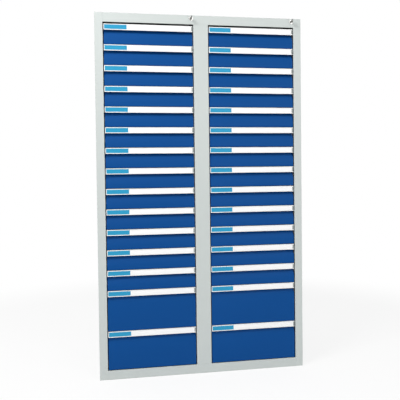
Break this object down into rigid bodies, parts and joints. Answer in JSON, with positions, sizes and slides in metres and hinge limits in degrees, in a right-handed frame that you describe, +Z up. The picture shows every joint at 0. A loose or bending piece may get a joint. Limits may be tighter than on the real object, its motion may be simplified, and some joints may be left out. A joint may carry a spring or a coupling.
{
  "type": "drawer cabinet",
  "caption": "Tall sheet-steel parts cabinet with columns of label-strip drawers on roller runners and a key lock with a locking bar for each column.",
  "frame": {"origin": "centre of the base, on the floor", "axes": "+X to the right seen from the front, +Y to the back, +Z up"},
  "size_m": [1.04, 0.6295, 1.79],
  "materials": {
    "frame_paint": "light grey powder coat, fine orange peel",
    "drawer_paint": "blue powder coat, fine orange peel",
    "zinc_steel": "zinc-plated sheet steel",
    "lock_chrome": "nickel-plated",
    "roller_nylon": "natural nylon",
    "guide_plastic": "black moulded plastic"
  },
  "bodies": {
    "cabinet": {"left_side_panel": "frame_paint", "right_side_panel": "frame_paint", "top_panel": "frame_paint", "floor_panel": "frame_paint", "top_rail": "frame_paint", "bottom_rail": "frame_paint", "centre_stile": "frame_paint", "centre_wall": "frame_paint", "left_back_panel": "frame_paint", "right_back_panel": "frame_paint", "back_panel_screws": "zinc_steel", "left_uprights": "frame_paint", "right_uprights": "frame_paint", "left_runners": "zinc_steel", "right_runners": "zinc_steel", "left_front_rollers": "roller_nylon", "right_front_rollers": "roller_nylon", "lock_barrels": "lock_chrome", "lock_nuts": "zinc_steel", "locking_bar_guides": "guide_plastic"},
    "left_lock": {"left_lock_core": "lock_chrome", "left_lock_cam": "zinc_steel", "left_cam_screw": "zinc_steel"},
    "left_key": {"left_key": "lock_chrome"},
    "left_locking_bar": {"left_locking_bar": "zinc_steel"},
    "right_lock": {"right_lock_core": "lock_chrome", "right_lock_cam": "zinc_steel", "right_cam_screw": "zinc_steel"},
    "right_key": {"right_key": "lock_chrome"},
    "right_locking_bar": {"right_locking_bar": "zinc_steel"},
    "drawer_left_01": {"drawer_left_01": "drawer_paint"},
    "drawer_left_02": {"drawer_left_02": "drawer_paint"},
    "drawer_left_03": {"drawer_left_03": "drawer_paint"},
    "drawer_left_04": {"drawer_left_04": "drawer_paint"},
    "drawer_left_05": {"drawer_left_05": "drawer_paint"},
    "drawer_left_06": {"drawer_left_06": "drawer_paint"},
    "drawer_left_07": {"drawer_left_07": "drawer_paint"},
    "drawer_left_08": {"drawer_left_08": "drawer_paint"},
    "drawer_left_09": {"drawer_left_09": "drawer_paint"},
    "drawer_left_10": {"drawer_left_10": "drawer_paint"},
    "drawer_left_11": {"drawer_left_11": "drawer_paint"},
    "drawer_left_12": {"drawer_left_12": "drawer_paint"},
    "drawer_left_13": {"drawer_left_13": "drawer_paint"},
    "drawer_left_14": {"drawer_left_14": "drawer_paint"},
    "drawer_left_15": {"drawer_left_15": "drawer_paint"},
    "drawer_right_01": {"drawer_right_01": "drawer_paint"},
    "drawer_right_02": {"drawer_right_02": "drawer_paint"},
    "drawer_right_03": {"drawer_right_03": "drawer_paint"},
    "drawer_right_04": {"drawer_right_04": "drawer_paint"},
    "drawer_right_05": {"drawer_right_05": "drawer_paint"},
    "drawer_right_06": {"drawer_right_06": "drawer_paint"},
    "drawer_right_07": {"drawer_right_07": "drawer_paint"},
    "drawer_right_08": {"drawer_right_08": "drawer_paint"},
    "drawer_right_09": {"drawer_right_09": "drawer_paint"},
    "drawer_right_10": {"drawer_right_10": "drawer_paint"},
    "drawer_right_11": {"drawer_right_11": "drawer_paint"},
    "drawer_right_12": {"drawer_right_12": "drawer_paint"},
    "drawer_right_13": {"drawer_right_13": "drawer_paint"},
    "drawer_right_14": {"drawer_right_14": "drawer_paint"},
    "drawer_right_15": {"drawer_right_15": "drawer_paint"}
  },
  "joints": [
    {"name": "left_lock_turn", "type": "hinge", "parent": "cabinet", "child": "left_lock", "pos_m": [-0.049, -0.3, 1.774], "axis": [0, -1, 0], "range_deg": [0, 90]},
    {"name": "left_bar_lift", "type": "slide", "parent": "cabinet", "child": "left_locking_bar", "axis": [0, 0, 1], "range_m": [0, 0.01004]},
    {"name": "left_key_pull", "type": "slide", "parent": "left_lock", "child": "left_key", "axis": [0, -1, 0], "range_m": [0, 0.03]},
    {"name": "right_lock_turn", "type": "hinge", "parent": "cabinet", "child": "right_lock", "pos_m": [0.469, -0.3, 1.774], "axis": [0, -1, 0], "range_deg": [0, 90]},
    {"name": "right_bar_lift", "type": "slide", "parent": "cabinet", "child": "right_locking_bar", "axis": [0, 0, 1], "range_m": [0, 0.01004]},
    {"name": "right_key_pull", "type": "slide", "parent": "right_lock", "child": "right_key", "axis": [0, -1, 0], "range_m": [0, 0.03]},
    {"name": "left_01_slide", "type": "slide", "parent": "cabinet", "child": "drawer_left_01", "axis": [0, -1, 0], "range_m": [0, 0.42]},
    {"name": "left_02_slide", "type": "slide", "parent": "cabinet", "child": "drawer_left_02", "axis": [0, -1, 0], "range_m": [0, 0.42]},
    {"name": "left_03_slide", "type": "slide", "parent": "cabinet", "child": "drawer_left_03", "axis": [0, -1, 0], "range_m": [0, 0.42]},
    {"name": "left_04_slide", "type": "slide", "parent": "cabinet", "child": "drawer_left_04", "axis": [0, -1, 0], "range_m": [0, 0.42]},
    {"name": "left_05_slide", "type": "slide", "parent": "cabinet", "child": "drawer_left_05", "axis": [0, -1, 0], "range_m": [0, 0.42]},
    {"name": "left_06_slide", "type": "slide", "parent": "cabinet", "child": "drawer_left_06", "axis": [0, -1, 0], "range_m": [0, 0.42]},
    {"name": "left_07_slide", "type": "slide", "parent": "cabinet", "child": "drawer_left_07", "axis": [0, -1, 0], "range_m": [0, 0.42]},
    {"name": "left_08_slide", "type": "slide", "parent": "cabinet", "child": "drawer_left_08", "axis": [0, -1, 0], "range_m": [0, 0.42]},
    {"name": "left_09_slide", "type": "slide", "parent": "cabinet", "child": "drawer_left_09", "axis": [0, -1, 0], "range_m": [0, 0.42]},
    {"name": "left_10_slide", "type": "slide", "parent": "cabinet", "child": "drawer_left_10", "axis": [0, -1, 0], "range_m": [0, 0.42]},
    {"name": "left_11_slide", "type": "slide", "parent": "cabinet", "child": "drawer_left_11", "axis": [0, -1, 0], "range_m": [0, 0.42]},
    {"name": "left_12_slide", "type": "slide", "parent": "cabinet", "child": "drawer_left_12", "axis": [0, -1, 0], "range_m": [0, 0.42]},
    {"name": "left_13_slide", "type": "slide", "parent": "cabinet", "child": "drawer_left_13", "axis": [0, -1, 0], "range_m": [0, 0.42]},
    {"name": "left_14_slide", "type": "slide", "parent": "cabinet", "child": "drawer_left_14", "axis": [0, -1, 0], "range_m": [0, 0.42]},
    {"name": "left_15_slide", "type": "slide", "parent": "cabinet", "child": "drawer_left_15", "axis": [0, -1, 0], "range_m": [0, 0.42]},
    {"name": "right_01_slide", "type": "slide", "parent": "cabinet", "child": "drawer_right_01", "axis": [0, -1, 0], "range_m": [0, 0.42]},
    {"name": "right_02_slide", "type": "slide", "parent": "cabinet", "child": "drawer_right_02", "axis": [0, -1, 0], "range_m": [0, 0.42]},
    {"name": "right_03_slide", "type": "slide", "parent": "cabinet", "child": "drawer_right_03", "axis": [0, -1, 0], "range_m": [0, 0.42]},
    {"name": "right_04_slide", "type": "slide", "parent": "cabinet", "child": "drawer_right_04", "axis": [0, -1, 0], "range_m": [0, 0.42]},
    {"name": "right_05_slide", "type": "slide", "parent": "cabinet", "child": "drawer_right_05", "axis": [0, -1, 0], "range_m": [0, 0.42]},
    {"name": "right_06_slide", "type": "slide", "parent": "cabinet", "child": "drawer_right_06", "axis": [0, -1, 0], "range_m": [0, 0.42]},
    {"name": "right_07_slide", "type": "slide", "parent": "cabinet", "child": "drawer_right_07", "axis": [0, -1, 0], "range_m": [0, 0.42]},
    {"name": "right_08_slide", "type": "slide", "parent": "cabinet", "child": "drawer_right_08", "axis": [0, -1, 0], "range_m": [0, 0.42]},
    {"name": "right_09_slide", "type": "slide", "parent": "cabinet", "child": "drawer_right_09", "axis": [0, -1, 0], "range_m": [0, 0.42]},
    {"name": "right_10_slide", "type": "slide", "parent": "cabinet", "child": "drawer_right_10", "axis": [0, -1, 0], "range_m": [0, 0.42]},
    {"name": "right_11_slide", "type": "slide", "parent": "cabinet", "child": "drawer_right_11", "axis": [0, -1, 0], "range_m": [0, 0.42]},
    {"name": "right_12_slide", "type": "slide", "parent": "cabinet", "child": "drawer_right_12", "axis": [0, -1, 0], "range_m": [0, 0.42]},
    {"name": "right_13_slide", "type": "slide", "parent": "cabinet", "child": "drawer_right_13", "axis": [0, -1, 0], "range_m": [0, 0.42]},
    {"name": "right_14_slide", "type": "slide", "parent": "cabinet", "child": "drawer_right_14", "axis": [0, -1, 0], "range_m": [0, 0.42]},
    {"name": "right_15_slide", "type": "slide", "parent": "cabinet", "child": "drawer_right_15", "axis": [0, -1, 0], "range_m": [0, 0.42]}
  ],
  "couplings": [
    {"joint": "left_lock_turn", "follows": "left_bar_lift", "rad_per_m": 156.44},
    {"joint": "right_lock_turn", "follows": "right_bar_lift", "rad_per_m": 156.44}
  ]
}
